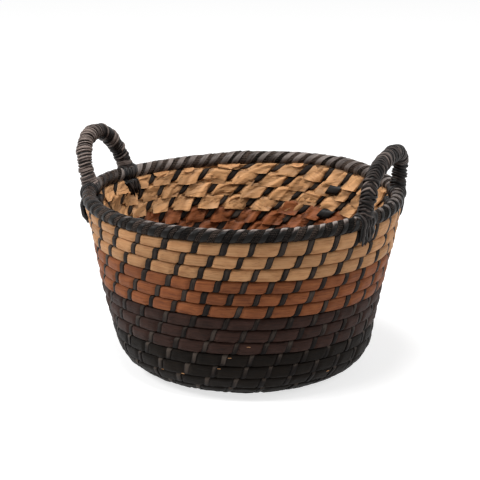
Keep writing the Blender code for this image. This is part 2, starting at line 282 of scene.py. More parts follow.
class Bundle:
    """Collects the closed strips or sheets that one piece is made of."""

    def __init__(self):
        self.count = 0
        self.points, self.faces, self.grains, self.tones = [], [], [], []

    def add(self, points, faces, grain, tone):
        self.faces += [[self.count + corner for corner in face] for face in faces]
        self.points.append(points.reshape(-1, 3))
        self.grains.append(grain)
        self.tones.append(tone)
        self.count += len(self.points[-1])

    def add_strip(self, rings, width, length, tone, number=None, sides=None):
        """A strip of rings. Width and length are those of its grain, with sides from -1 to 1 across it."""
        rows, columns = rings.shape[:2]
        number = len(self.points) + 1 if number is None else number
        sides = np.linspace(-1, 1, columns) if sides is None else sides
        grain = grain_of(sides * width / 2, np.linspace(0, length, rows)[:, None], number * GRAIN_STEP)
        self.add(rings, tube_faces(rows, columns), grain, np.broadcast_to(tone, (rows, columns)).ravel())

    def add_sheet(self, front, back, grain, front_tone, back_tone):
        """A thin sheet between two grids of points."""
        size = front.shape[:2]
        tones = [np.broadcast_to(tone, size).ravel() for tone in (front_tone, back_tone)]
        self.add(np.stack((front, back)), sheet_faces(*size), np.tile(grain, (2, 1)), np.concatenate(tones))

    def make(self, name, material, slot, replaces=(), sharp=STRIP_CREASE, **attributes):
        add_piece(
            name, np.concatenate(self.points), self.faces, material, slot, replaces, sharp,
            grain=np.concatenate(self.grains), tone=np.concatenate(self.tones), **attributes,
        )


# Materials
class Nodes:
    """Short calls for building the nodes of a material or of the world."""

    def __init__(self, holder):
        holder.use_nodes = True
        self.holder = holder
        self.tree = holder.node_tree

    def add(self, kind, sources=(), **settings):
        node = self.tree.nodes.new("ShaderNode" + kind)
        for key, value in settings.items():
            setattr(node, key, value)
        for socket, source in dict(sources).items():
            self.set(node.inputs[socket], source)
        return node

    def set(self, socket, source):
        if hasattr(source, "is_output"):
            self.tree.links.new(source, socket)
        else:
            socket.default_value = source

    def attribute(self, name, output="Fac"):
        return self.add("Attribute", attribute_name=name).outputs[output]

    def math(self, operation, first, second=0.0, third=0.0):
        return self.add("Math", {0: first, 1: second, 2: third}, operation=operation).outputs[0]

    def weighted(self, first, share, second, other_share):
        """Two values added, each times its share."""
        first = self.math("MULTIPLY", first, share)
        return self.math("ADD", first, self.math("MULTIPLY", second, other_share))

    def noise(self, vector, scales, detail, roughness=0.5):
        """Noise with its own number of waves a metre in each direction."""
        scaled = self.add("VectorMath", {0: vector, 1: scales}, operation="MULTIPLY").outputs[0]
        sources = {"Vector": scaled, "Scale": 1.0, "Detail": detail, "Roughness": roughness}
        return self.add("TexNoise", sources).outputs["Fac"]

    def ramp(self, value, *stops):
        node = self.add("ValToRGB", {"Fac": value})
        elements = node.color_ramp.elements
        while len(elements) < len(stops):
            elements.new(0.5)
        for element, (position, colour) in zip(elements, stops):
            element.position = position
            element.color = (*colour, 1) if hasattr(colour, "__len__") else (colour,) * 3 + (1,)
        return node.outputs["Color"]

    def mix(self, factor, first, second, blend="MIX"):
        node = self.add("Mix", data_type="RGBA", blend_type=blend)
        for socket, source in ((0, factor), (6, first), (7, second)):
            if not hasattr(source, "is_output") and hasattr(source, "__len__"):
                source = (*source, 1)
            self.set(node.inputs[socket], source)
        return node.outputs[2]

    def seen_directly(self):
        """1 for what the camera sees, also in gloss and through glass, and 0 for all other light."""
        path = self.add("LightPath").outputs
        seen = self.math("MAXIMUM", path["Is Camera Ray"], path["Is Glossy Ray"])
        return self.math("MAXIMUM", seen, path["Is Transmission Ray"])

    def surface(self, sources):
        for socket, source in sources.items():
            self.set(self.tree.nodes["Principled BSDF"].inputs[socket], source)
        return self.holder

    def finish(self, colour, roughness, height, relief, strength, gloss):
        """Sets the surface, with a height that stands out by a relief in metres."""
        bump = self.add("Bump", {"Height": height, "Distance": relief, "Strength": strength})
        sources = {"Base Color": colour, "Roughness": roughness, "Normal": bump.outputs["Normal"]}
        return self.surface({**sources, "Specular IOR Level": gloss})


def leaf_material(name, dark, middle, light, inner, gloss):
    """Dry leaf, streaked along the coil. Grain holds metres along, metres round and a number."""
    n = Nodes(bpy.data.materials.new(name))
    grain = n.attribute("grain", "Vector")
    inside = n.attribute("inside")
    fibres = n.noise(grain, (34, 620, 1), 5, 0.7)
    bands = n.noise(grain, (22, 210, 3), 3)
    blotch = n.noise(grain, (70, 110, 5), 4)
    stops = (0.30, srgb(*dark)), (0.50, srgb(*middle)), (0.72, srgb(*light))
    colour = n.ramp(n.weighted(fibres, 0.55, blotch, 0.45), *stops)
    colour = n.mix(n.math("MULTIPLY", inside, 0.75), colour, n.mix(0.5, colour, srgb(*inner)))
    shade = n.math("MULTIPLY_ADD", n.attribute("tone"), 0.3, 0.87)
    shades = n.add("CombineColor", {0: shade, 1: shade, 2: shade}).outputs[0]
    colour = n.mix(1.0, colour, shades, "MULTIPLY")

    # The leaf lies in layers, each with a dark line of painted shade along its edge
    layers = n.ramp(bands, (0.455, 0.0), (0.475, 1.0))
    edge = n.math("SUBTRACT", 1.0, n.math("ABSOLUTE", n.math("MULTIPLY_ADD", bands, 2.0, -0.93)))
    line = n.ramp(edge, (0.965, 0.0), (0.995, 1.0))
    colour = n.mix(n.math("MULTIPLY", line, 0.45), colour, srgb(*dark))
    crumple = n.math("MULTIPLY", n.noise(grain, (210, 260, 9), 3), inside)
    height = n.math("ADD", n.weighted(fibres, 0.5, layers, 0.7), n.math("MULTIPLY", crumple, 1.1))
    roughness = n.math("MULTIPLY_ADD", inside, -0.12, n.math("MULTIPLY_ADD", fibres, 0.3, 0.42))
    return n.finish(colour, roughness, height, 0.0006, 0.9, gloss)


WEAVE_PITCH = 0.0036  # metres between the crepe's crossed threads, measured along the strip


def strip_material(name, dark, middle, light, roughness, gloss, relief=0.0003, weave=0.0, top=0.70):
    """Flat strip of dyed leaf, with fine lines along it, or with the weave of a crepe."""
    n = Nodes(bpy.data.materials.new(name))
    grain = n.attribute("grain", "Vector")
    lines = n.noise(grain, (700, 60, 1), 4, 0.65)
    patches = n.noise(grain, (180, 120, 7), 3)
    if weave:
        across, along = n.add("SeparateXYZ", {0: grain}).outputs[:2]
        warp, weft = (
            n.math("SINE", n.math("MULTIPLY", n.math(operation, across, along), CIRCLE / WEAVE_PITCH))
            for operation in ("ADD", "SUBTRACT")
        )
        woven = n.math("MULTIPLY_ADD", n.math("MULTIPLY", warp, weft), 0.5, 0.5)
        lines = n.weighted(lines, 1 - weave, woven, weave)
    tone = n.math("MULTIPLY_ADD", n.attribute("tone"), 0.24, -0.12)
    mixed = n.math("ADD", n.weighted(lines, 0.5, patches, 0.5), tone)
    colour = n.ramp(mixed, (0.33, srgb(*dark)), (0.52, srgb(*middle)), (top, srgb(*light)))
    rough = n.math("MULTIPLY_ADD", patches, 0.3, roughness - 0.15)
    return n.finish(colour, rough, lines, relief, 0.8, gloss)


def cane_material():
    """Bare cane, with its colour running along the object's own axes."""
    n = Nodes(bpy.data.materials.new("cane_look"))
    fibres = n.noise(n.add("TexCoord").outputs["Object"], (600, 90, 600), 4)
    colour = n.ramp(fibres, (0.3, srgb(104, 78, 52)), (0.5, srgb(132, 102, 70)), (0.7, srgb(158, 126, 90)))
    return n.finish(colour, 0.6, fibres, 0.0002, 0.8, 0.3)


LEAF_COLOURS = {  # streaks from dark to light in 0 to 255, then the colour inside and the gloss
    "tan_leaf": ((160, 108, 68), (200, 148, 102), (218, 170, 124), (190, 145, 99), 0.18),
    # the brown leaf's colour inside is darkened, as painted shade deep in the basket
    "brown_leaf": ((102, 53, 29), (142, 83, 49), (168, 104, 63), (110, 62, 36), 0.15),
    "dark_brown_leaf": ((30, 19, 16), (52, 34, 28), (70, 48, 42), (80, 54, 48), 0.1),
    "black_leaf": ((12, 9, 7), (22, 17, 13), (35, 28, 22), (40, 32, 27), 0.07),
}
LEAVES = {slot: leaf_material(f"{slot}_look", *colours) for slot, colours in LEAF_COLOURS.items()}
SEWING_LOOK = strip_material(
    "sewing_strip_look", (16, 12, 11), (36, 30, 27), (86, 76, 69), roughness=0.5, gloss=0.07, top=0.86
)
# Its lightest colour is reached where painted light and the painted highlight lighten the satin strips
SATIN_LOOK = strip_material(
    "rim_satin_look", (10, 7, 5), (40, 30, 26), (146, 135, 129), roughness=0.40, gloss=0.14, top=0.95
)
ROUGH_LOOK = strip_material(
    "rim_rough_look", (3, 2, 1), (11, 8, 6), (92, 78, 70), roughness=0.6, gloss=0.07, relief=0.0016,
    weave=0.88,
)
CORD_LOOK = strip_material(
    "handle_cord_look", (14, 10, 9), (54, 44, 40), (130, 116, 109), roughness=0.45, gloss=0.18, relief=0.0006
)
LASHING_LOOK = strip_material(
    "lashing_look", (6, 5, 5), (17, 14, 13), (54, 46, 43), roughness=0.36, gloss=0.2, relief=0.0004
)
CANE_LOOK = cane_material()


# The coil's leaf. Around its section, angle -90 degrees is the underside, 0 the outside
COLUMNS = 26
COLUMN_ANGLES = -math.pi / 2 + CIRCLE * np.arange(COLUMNS) / COLUMNS
SQUARENESS = 3.6
FOOT_SQUARENESS = 5.2
OUTER_LEAN = 0.12  # the strips' slant over each face, as a share of their spacing
INNER_LEAN = 0.35
INNER_SHIFT = 0.43  # from the middle of the outer face to the middle of the inner one
PHASES = np.array((0, 0.07, 0.12, 0.18, 0.27, 0.38, 0.5, 0.62, 0.73, 0.82, 0.88, 0.93))
STRIP_SINK = 0.0012
STRIP_PINCH = 0.13  # by how much of its width the leaf is drawn in where a strip crosses it
LEAF_SWELL = 0.0004  # how far all leaves bulge between two strips, besides what each has of its own
LEAF_TILT = 0.0004  # the most that an edge of a leaf stands out or in
LEAF_SKEW = 0.0008  # the most that a leaf climbs from one strip to the next
LEAF_WAVES = 0.00022
SEAM_OVERLAP = 0.0002
INNER_OVERHANG = 0.0007  # how far the lower edge of a course stands in over the one below
INNER_WAVES = 0.0007
INNER_SINK = 0.0002
SAG, SAG_WAVES = 0.0016, 0.0009  # how far the leaf hangs down inside
FLAT_TURNS = 9  # of the coil, before it climbs the wall
MIDDLE_RADIUS = 0.148  # of the wall, half way up

# Turns of the coil between which the dark courses give way to the upper ones, in form, in tone, in the
# painted shade of their seams and in the painted shine of their strips
SQUARE_TURNS = (9.0, 13.0)
SWELL_TURNS = (8.5, 11.0)
PINCH_TURNS = (11.0, 14.5)
SEAM_SHADE_TURNS = (9.0, 14.0)
WIDTH_TURNS = (12, 16)
PAINTED_SHINE_TURNS = (13.5, 10.5)

LEAF_BULGE = RNG.uniform(-0.0002, 0.0006, LAST_STRIP)
LEAF_TONE = RNG.uniform(0, 1, LAST_STRIP)
LEAF_SLOPE = RNG.uniform(-1, 1, LAST_STRIP)
FOLD_ANGLE = RNG.uniform(-0.9, 0.9, LAST_STRIP)
FOLD_PHASE = RNG.uniform(0, 1, LAST_STRIP)
FOLD_DEPTH = RNG.uniform(0.0004, 0.0019, LAST_STRIP)
STRIP_JITTER = RNG.normal(0, 0.025, LAST_STRIP)
STRIP_WIDTH = RNG.uniform(0.88, 1.14, LAST_STRIP)
STRIP_TONE = RNG.uniform(0, 1, LAST_STRIP)


def oval(angle, squareness):
    """Share of the half thickness and of the half width at an angle of the section."""
    c, s = np.cos(angle), np.sin(angle)
    power = 2 / squareness
    return np.sign(c) * np.abs(c) ** power, np.sign(s) * np.abs(s) ** power


def squareness_at(number):
    """The dark courses lie closer and flatter than the ones above."""
    return FOOT_SQUARENESS + (SQUARENESS - FOOT_SQUARENESS) * smooth(*SQUARE_TURNS, turn_of(number))


def inside_share(angle):
    return smooth(0.1, 0.6, -np.cos(angle))


def strip_shift(across, up):
    """How far on from the middle of the outside a strip lies, as a share of the strips' spacing."""
    seam = np.sign(up) * (1 - np.abs(across))
    top = (INNER_SHIFT - (OUTER_LEAN + INNER_LEAN) / 2) / 2
    bottom = (1 - INNER_SHIFT - (OUTER_LEAN + INNER_LEAN) / 2) / 2
    seam = seam * np.where(up > 0, top, bottom)
    outer = OUTER_LEAN / 2 * up + seam
    inner = INNER_SHIFT - INNER_LEAN / 2 * up - seam
    return np.where(across > 0, outer, inner)


def arc_length(turn):
    """Metres along the coil, near enough for the grain of its leaf."""
    turn = np.maximum(turn, 0)
    spiral = math.pi * COIL_PITCH * np.minimum(turn, FLAT_TURNS) ** 2
    return spiral + CIRCLE * MIDDLE_RADIUS * np.maximum(turn - FLAT_TURNS, 0)


def make_leaf(name, first, last, slot):
    """One length of the coil as a closed leaf body, pinched where each strip crosses it."""
    low = strip_near(first) if first > COIL_START else 0
    numbers = (np.arange(low, strip_near(last))[:, None] + PHASES).ravel()
    if last == COIL_END:
        numbers = numbers[turn_of(numbers) < COIL_END + 0.004]
    rows = len(numbers)
    angle = np.broadcast_to(COLUMN_ANGLES, (rows, COLUMNS))
    across, up = oval(angle, squareness_at(numbers)[:, None])
    at = np.maximum(numbers[:, None] + strip_shift(across, up), 0.0)
    turn = np.clip(turn_of(at), COIL_START, COIL_END)
    whole = np.floor(numbers + 1e-9)
    leaf = np.minimum(whole.astype(int), LAST_STRIP - 1)[:, None]
    phase = (numbers - whole)[:, None]
    full = smooth(0.08, 0.19, np.minimum(phase, 1 - phase))
    rounded = smooth(0.05, 0.30, phase) * smooth(0.05, 0.18, 1 - phase)
    inner = inside_share(angle)
    outer = 1 - inner

    lower, upper = coil_edges(turn)
    middle, half = (lower + upper) / 2, (upper - lower) / 2
    crest = (1 - up**2) * outer * smooth(*SWELL_TURNS, turn)
    push = -STRIP_SINK * (1 - full) + (LEAF_BULGE[leaf] + LEAF_SWELL) * full * crest
    push += LEAF_TILT * full * up * LEAF_SLOPE[leaf] * outer
    metres = arc_length(turn)
    spot = np.stack((metres, up * 0.006, inner * 0.01), -1)
    push += LEAF_WAVES * waves(spot, 420, 3) * full

    # Inside, each leaf hangs over the course below and is crumpled
    folding = 2.2 * phase * np.cos(FOLD_ANGLE[leaf]) + 0.9 * up * np.sin(FOLD_ANGLE[leaf]) + FOLD_PHASE[leaf]
    crumple = FOLD_DEPTH[leaf] * (1 - np.abs(np.sin(math.pi * folding))) * full
    crumple += INNER_WAVES * waves(spot, 700, 5) * full
    push += inner * (crumple - INNER_SINK) - INNER_OVERHANG * up * inner
    sag = inner * smooth(0.3, -0.9, up) * full * (SAG + SAG_WAVES * waves(spot, 500, 9))
    face = np.abs(across) ** 0.7
    pinch = STRIP_PINCH * (0.35 + 0.65 * smooth(*PINCH_TURNS, turn))
    width = half * (1 - pinch * (1 - rounded) * (1 - 0.5 * inner) * face) + SEAM_OVERLAP * (1 - face)
    along = middle + width * up - sag + LEAF_SKEW * LEAF_SLOPE[leaf] * (phase - 0.5) * full * outer
    points = on_wall(azimuth_of(turn), along, (half_thickness(lower, upper) + push) * across)

    # Painted shade darkens the leaf towards the seams between courses, more in the upper courses
    tone = LEAF_TONE[leaf] - (0.2 + 0.6 * smooth(*SEAM_SHADE_TURNS, turn)) * np.abs(up) ** 6
    add_piece(
        f"{name}_leaf", points.reshape(-1, 3), tube_faces(rows, COLUMNS, len(PHASES)),
        LEAVES[slot], slot, [f"{name}_coil"], tone=tone.ravel(), inside=inner.ravel(),
        grain=grain_of(metres, half * up + angle * 0.002, leaf * GRAIN_STEP),
    )


INNER_LAG = 0.03  # turns by which the colours change later inside than outside
FOLD_COLUMNS = 19
FOLD_ROWS = 15
FOLD_WIDTH = 0.018  # of the leaf between two strips, near enough for its creases and grain
FOLD_DROP = 0.014
FOLD_TOP = 0.0008
FOLD_THICKNESS = 0.00035
FOLD_OVERHANG = 0.0025  # how far a fold hangs over the course below
FOLD_SIDES = (0.135, 0.865)  # where a fold starts and ends, as shares of the strips' spacing
FOLD_LIFT = 0.0017  # how far its lower edge stands off the leaf
FOLD_SINK = 0.0009  # how far it is drawn in beside the strips
CREASE_REACH = 0.0055  # how far from the middle of a fold its creases lie
CREASE_ROUNDING = 6e-8  # square metres
CREASE_LIMITS = (-0.0017, 0.0021)
DARK_SIDE = math.radians(35)  # azimuth of the wall round which the folds are darker


def creased(here, draw):
    """Height of a stiff sheet creased along a few straight lines, which stays flat between them."""
    height = np.zeros(here.shape[:-1])
    main = draw.normal(0.55, 0.5)
    slope = draw.choice((-1, 1))
    creases = draw.integers(3, 6)
    across, down = here[..., 0] - FOLD_WIDTH / 2, here[..., 1] - FOLD_DROP / 2
    for offset in np.linspace(-CREASE_REACH, CREASE_REACH, creases) + draw.normal(0, 0.0010, creases):
        turned = main + draw.normal(0, 0.24)
        away = across * math.sin(turned) - down * math.cos(turned) - offset
        slope = -slope
        height += slope * draw.uniform(0.14, 0.40) * np.sqrt(away**2 + CREASE_ROUNDING)
    return np.clip(height - height.mean(), *CREASE_LIMITS)


def make_folds(name, first, last, slot):
    """The crumpled face of leaf between each two strips inside, which hangs over the course below."""
    low = strip_near(first)
    draw = np.random.default_rng(low)
    u, v = np.meshgrid(np.linspace(0, 1, FOLD_COLUMNS), np.linspace(0, 1, FOLD_ROWS), indexing="ij")
    metres, across = u * FOLD_WIDTH, v * FOLD_DROP
    here = np.stack((metres, across), -1)
    bundle = Bundle()
    for number in range(low, strip_near(last)):
        if turn_of(number + 1.35) > COIL_END:
            break
        left, right = (side + draw.normal(0, 0.015) for side in FOLD_SIDES)
        turn = turn_of(number + left + (right - left) * u + strip_shift(-1.0, 1 - 2 * v))
        lower, upper = coil_edges(turn)
        seed = int(draw.integers(1 << 30))
        torn = FOLD_OVERHANG + 0.0004 * waves(here[:, -1:, :1], 260, seed) + 0.0006 * draw.uniform(-1, 1)
        torn = torn + 0.0003 * np.sin(math.pi * u) + draw.uniform(-0.0012, 0.0012) * (u - 0.5)
        height = upper - lower - FOLD_TOP + torn * smooth(0.4, 1.0, v)
        along = upper - FOLD_TOP - v * height
        belly = np.sin(math.pi * u) ** 0.18
        crumple = 1.1 * creased(here, draw) + 0.00012 * waves(here, 300, seed + 2)
        curl = draw.uniform(-0.0004, 0.0024) * np.maximum(v - 0.6, 0) / 0.4
        curl = curl * np.abs(2 * u - draw.uniform(0.2, 1.8)) ** 1.5
        lift = half_thickness(lower, upper) * (0.84 + 0.16 * smooth(0.0, 0.25, v))
        lift = lift + FOLD_LIFT * smooth(0.4, 1.0, v) + curl
        lift = lift + (crumple + 0.0004) * belly * smooth(0.0, 0.15, v) - FOLD_SINK * (1 - belly)
        azimuth = azimuth_of(turn)
        turned = draw.uniform(-0.35, 0.35)
        grain = grain_of(
            metres * math.cos(turned) - across * math.sin(turned) + number * 0.02,
            metres * math.sin(turned) + across * math.cos(turned), number * 0.53,
        )
        shade = draw.uniform() - 0.45 * max(math.cos(float(azimuth.mean()) - DARK_SIDE), 0.0)
        # Painted light on the fold's face: painted highlights on its ridges and along its torn lower edge,
        # painted shade in its hollows, under the course above and beside the strips
        painted_light = 0.9 * np.clip(crumple / 0.0012, -1, 1.3) + 0.7 * smooth(0.9, 1.0, v)
        painted_light -= 1.5 * smooth(0.24, 0.0, v) + 0.9 * smooth(0.10, 0.0, np.minimum(u, 1 - u))
        front, back = on_wall(azimuth, along, -lift), on_wall(azimuth, along, -(lift - FOLD_THICKNESS))
        # The fold's back, towards the wall, is darkened by painted shade
        bundle.add_sheet(front, back, grain, shade + painted_light, shade - 1.5)
    bundle.make(f"{name}_folds", LEAVES[slot], slot, sharp=26, inside=1.0)


STRIP_STATIONS = 26
STRIP_LENGTH = 0.045  # of a strip's way round the coil, near enough for its grain
STRIP_PROFILE = ((-1.0, -0.0014), (-1.0, -0.0006), (-0.7, -0.00025), (0.0, -0.0001), (0.7, -0.00025),
                 (1.0, -0.0006), (1.0, -0.0014))
STRIP_SIDES = np.array([side for side, _ in STRIP_PROFILE])
# Painted shade along a sewing strip's edges and a painted highlight along its middle
STRIP_PAINTED_SHADING = np.array((-1.6, -1.4, 0.1, 0.35, 0.1, -1.4, -1.6))
STRIP_WIDTHS = (0.0064, 0.0078)  # outside and inside
STRIP_LIFT = 0.0002
LEAST_COURSE = 0.0045  # where the coil is lower than this, no strip is sewn
PAINTED_GLINT_AZIMUTH = math.radians(-92)  # where a painted highlight lightens the strips of the dark bands most


def strip_ring(number, share, widths=STRIP_WIDTHS, raised=0.0):
    """Points across a sewing strip at a share of its way round the coil, raised inside if asked."""
    angle = -math.pi / 2 + CIRCLE * share
    inner = float(inside_share(angle))
    across, up = oval(angle, float(squareness_at(number)))
    if share == 1.0:
        shift = 1 + float(strip_shift(0.001, -1.0))
    else:
        shift = float(strip_shift(across, up))
    index = min(int(number), LAST_STRIP - 1)
    turn = float(turn_of(max(number + shift + STRIP_JITTER[index], 0.0)))
    turn = min(max(turn, COIL_START), COIL_END - 0.002)
    lower, upper = coil_edges(turn)
    middle, half = (lower + upper) / 2, (upper - lower) / 2
    radius = max(on_wall(0.0, middle, 0.0)[0], 0.008)
    width = (widths[0] * (1 - inner) + widths[1] * inner) * STRIP_WIDTH[index]
    width = min(width * (0.82 + 0.18 * float(smooth(*WIDTH_TURNS, turn))), 0.8 * radius)
    ring = []
    for side, height in STRIP_PROFILE:
        azimuth = azimuth_of(turn) + side * width / 2 / radius
        push = height - INNER_OVERHANG * up * inner + STRIP_LIFT + raised * inner
        ring.append(on_wall(azimuth, middle + half * up, (half_thickness(lower, upper) + push) * across))
    return ring


def make_sewing(name, first, last):
    low = 1 if first < 0 else strip_near(first)
    shares = np.linspace(0.0, 1.0, STRIP_STATIONS)
    way = -math.pi / 2 + CIRCLE * shares
    bundle = Bundle()
    for number in range(low, strip_near(last)):
        if turn_of(number + 0.7) > COIL_END:
            break
        lower, upper = coil_edges(turn_of(number + INNER_SHIFT))
        if upper - lower < LEAST_COURSE:
            continue
        rings = np.array([strip_ring(number, share) for share in shares])
        turn = turn_of(number)
        lower_row = float(smooth(*PAINTED_SHINE_TURNS, turn))
        towards_painted_glint = max(0.0, math.cos(float(azimuth_of(turn)) - PAINTED_GLINT_AZIMUTH))
        # Painted light on each strip: a painted highlight at the top of its outside and painted shade at the
        # bottom, and on the dark bands a painted highlight towards one side with painted shade elsewhere
        tones = STRIP_TONE[number] + (0.6 + 1.5 * lower_row) * np.sin(way) * (np.cos(way) > 0)
        tones += lower_row * (1.3 * towards_painted_glint**8 - 0.9)
        bundle.add_strip(rings, 0.006, STRIP_LENGTH, tones[:, None] + STRIP_PAINTED_SHADING, number, STRIP_SIDES)
    bundle.make(f"{name}_sewing", SEWING_LOOK, "rim_strip")


MENDED_STRIPS = (365, 428)  # inside, where a wide strip covers the joint of two leaves
MENDED_WIDTHS = (0.0064, 0.0165)
MENDED_LIFT = 0.0034
FLECKS = (  # (turn of the coil, share of the course's height, half the width) of loose pale fibres outside
    (7.353, 0.1, 0.0005), (9.473, 0.05, 0.0005), (9.505, 0.1, 0.0005), (9.554, 0.85, 0.0003),
    (8.699, 0.85, 0.0005), (10.567, 0.8, 0.0003), (11.589, 0.75, 0.0003),
)
FLECK_REACH = 0.0021  # turns of the coil to each side
FLECK_LIFT = 0.0005
SCRAPS = (  # (azimuth in degrees, length, drop at the left end and at the right) of leaf under the rim
    (147, 0.021, 0.003, 0.005), (134, 0.012, 0.006, 0.003),
    (117, 0.026, 0.001, 0.007), (88, 0.014, 0.003, 0.004),
)
SCRAP_TUCK = 0.0015  # how far a curled end reaches up under the rim
SCRAP_DEPTH = 0.0052  # inwards from the middle of the wall
SCRAP_THICKNESS = 0.0004
KNOT_ROWS, KNOT_COLUMNS = 15, 40
KNOT_FLANGE = 0.0055  # how far the knot's leaf reaches in between the first turns


def make_patches():
    """Wide black strips inside, raised over the folds beside them."""
    shares = np.linspace(0.55, 0.96, 14)
    bundle = Bundle()
    for number in MENDED_STRIPS:
        rings = np.array([strip_ring(number, share, MENDED_WIDTHS, MENDED_LIFT) for share in shares])
        # The mended strips carry the same painted edge shade and middle highlight, weaker
        bundle.add_strip(rings, 0.0135, 0.016, 0.2 + 0.6 * STRIP_PAINTED_SHADING, number)
    bundle.make("mended_strips", LASHING_LOOK, "lashing_strip")


def make_flecks():
    """Loose pale fibres that stick out of the seams near the foot."""
    bundle = Bundle()
    for number, (turn, height, half_width) in enumerate(FLECKS):
        turns = turn + FLECK_REACH * np.linspace(-1, 1, 5)
        lower, upper = coil_edges(turns)
        depth = COIL_THICKNESS / 2 * (1 - abs(2 * height - 1) ** SQUARENESS) ** (1 / SQUARENESS) + FLECK_LIFT
        azimuth = azimuth_of(turns)
        out = np.stack((np.cos(azimuth), np.sin(azimuth), 0 * azimuth), -1)
        path = on_wall(azimuth, lower + (upper - lower) * height, depth)
        bundle.add_strip(cord_rings(path, half_width, 0.8 * half_width, out, 6), 0.002, 0.004, 0.8, number)
    bundle.make("loose_fibres", LEAVES["tan_leaf"], "tan_leaf", sharp=None, inside=0.0)


def make_scraps():
    """Ends of leaf that curl out from under the rim inside."""
    u, v = np.meshgrid(np.linspace(0, 1, 15), np.linspace(0, 1, 8), indexing="ij")
    bundle = Bundle()
    for number, (degrees, length, left, right) in enumerate(SCRAPS):
        azimuth = math.radians(degrees) - (u - 0.5) * length / RIM_RADIUS
        here = np.stack((u * length, v * 0.01), -1)
        drop = (left + (right - left) * u) * np.sin(math.pi * np.clip(u + 0.04, 0, 1)) ** 0.4
        drop = drop * (1 + 0.15 * waves(here[:, :1], 300, 61 + number))
        depth = SCRAP_DEPTH + 0.0022 * v**1.5 + 0.0005 * waves(here, 380, 71 + number)
        edge = RIM_CENTRE_LINE + rim_drift(azimuth) - RIM_THICKNESS / 2 + SCRAP_TUCK
        along = edge - v * (drop + SCRAP_TUCK)
        front, back = on_wall(azimuth, along, -depth), on_wall(azimuth, along, SCRAP_THICKNESS - depth)
        bundle.add_sheet(front, back, grain_of(here[..., 0] + number, here[..., 1], number), 0.9, 0.9)
    bundle.make("leaf_ends", LEAVES["tan_leaf"], "tan_leaf", sharp=30, inside=0.3)


def make_knot():
    """The knotted leaf that the coil starts round."""
    turned = CIRCLE * np.arange(KNOT_COLUMNS) / KNOT_COLUMNS
    rings = []
    for polar in np.linspace(0.08, math.pi - 0.08, KNOT_ROWS):
        ridge = 1 + 0.05 * np.cos(6 * turned + 3 * polar)
        reach = (KNOT_RADIUS + 0.0003) * math.sin(polar) ** 0.5 * ridge + KNOT_FLANGE * math.sin(polar) ** 10
        height = max(BASE_HEIGHT - COIL_THICKNESS / 2 * math.cos(polar), 0.0) + 0.0002 * (ridge - 1)
        rings.append(np.stack((reach * np.cos(turned), reach * np.sin(turned), height), -1))
    points = np.concatenate(rings)
    x, y, z = points.T
    add_piece(
        "centre_knot_leaf", points, tube_faces(KNOT_ROWS, KNOT_COLUMNS), LEAVES["black_leaf"], "black_leaf",
        ["centre_knot"], grain=grain_of(x + y, z + 0.4 * y, 0.0), tone=0.5, inside=0.0,
    )


def make_coil():
    make_knot()
    lasts = [first for _, first, _ in COILS[1:]] + [COIL_END]
    for (name, first, slot), last in zip(COILS, lasts):
        make_leaf(name, first, last, slot)
        make_sewing(name, first, last)
        if name not in ("base", "foot"):
            last_fold = last if last == COIL_END else last + INNER_LAG
            make_folds(name, first + INNER_LAG, last_fold, slot)
    make_patches()
    make_flecks()
    make_scraps()


# The rim
RIM_WRAPS = 72
WRAP_TURN = CIRCLE / RIM_WRAPS
RIM_COLUMNS = 24
RIM_LEAD = 2  # wraps that one turn round the rim moves on by, since several strips are wound at once
RIM_LEAN_STOPS = (-90, 0, 90, 180, 270)
RIM_LEAN_SHARES = (0.0, 0.35, 0.80, 1.50, 2.0)
RIM_PHASES = np.array((0, 0.08, 0.16, 0.28, 0.42, 0.56, 0.68, 0.78, 0.86, 0.93))
RIM_SWELL = 0.0005
RIM_BULGE = 0.0004  # of the dark wraps between two satin strips
RIM_SINK = 0.0003  # how far the dark wraps else lie below the rim's full thickness
RIM_WAVES = 0.00025
WORN_AZIMUTH = math.radians(215)  # where the rim's strips are frayed and dull
WORN_TONE = 0.3  # how much lighter the dark wraps are there
SATIN_STATIONS = 33
SATIN_PLACE = 0.26  # of a satin strip's middle, as a share of the wraps' spacing
SATIN_PROFILE = ((-1, -0.001), (-1, -0.0001), (-0.8, 0.0002), (-0.3, 0.00025),
                 (0.3, 0.0002), (0.8, 0.0001), (1, -0.0002), (1, -0.001))
SATIN_SIDES = np.array([side for side, _ in SATIN_PROFILE])
# Painted shade along each satin strip's edges, with a painted highlight near one edge
SATIN_PAINTED_SHADING = np.array((-1.0, -0.6, 0.5, 0.0, 0.15, -0.1, -0.9, -1.2))
SATIN_OUTER_SHADE = 1.9  # how much painted shade darkens the strips on the rim's outer face
TOP_HIGHLIGHT = 2.1  # how much a painted highlight lightens them along the top of the rim at the front


def rim_swell(azimuth):
    """The rim is a little thicker where it ends than where it starts, and uneven between."""
    round_rim = ((azimuth - RIM_END_AZIMUTH) / CIRCLE) % 1.0
    spot = np.stack((np.cos(azimuth), np.sin(azimuth)), -1)
    ends = smooth(0.9, 1.0, round_rim) - smooth(0.1, 0.0, round_rim)
    return RIM_SWELL * ends + 0.0002 * waves(spot, 9, 22)


def rim_point(azimuth, angle, radius):
    radius = radius + rim_swell(np.asarray(azimuth, float))
    reach = RIM_RADIUS + radius * np.cos(angle)
    height = RIM_HEIGHT + rim_drift(azimuth) + radius * np.sin(angle)
    return np.stack((reach * np.cos(azimuth), reach * np.sin(azimuth), height), -1)


def rim_lean(angle):
    """How many wraps further on a strip lies at an angle round the rim's section."""
    return np.interp(np.degrees(angle), RIM_LEAN_STOPS, RIM_LEAN_SHARES)


def back_share(azimuth):
    """0 at the side of the rim nearest to the camera, where its strips are darkened by painted shade, and 1
    at the back, where painted light lightens them.
    """
    return 0.5 + 0.5 * np.sin(azimuth - math.radians(VIEW_AZIMUTH))


def worn_share(azimuth):
    """1 where the rim is most frayed, and 0 on the other side of the mouth."""
    return 0.5 + 0.5 * np.cos(azimuth - WORN_AZIMUTH)


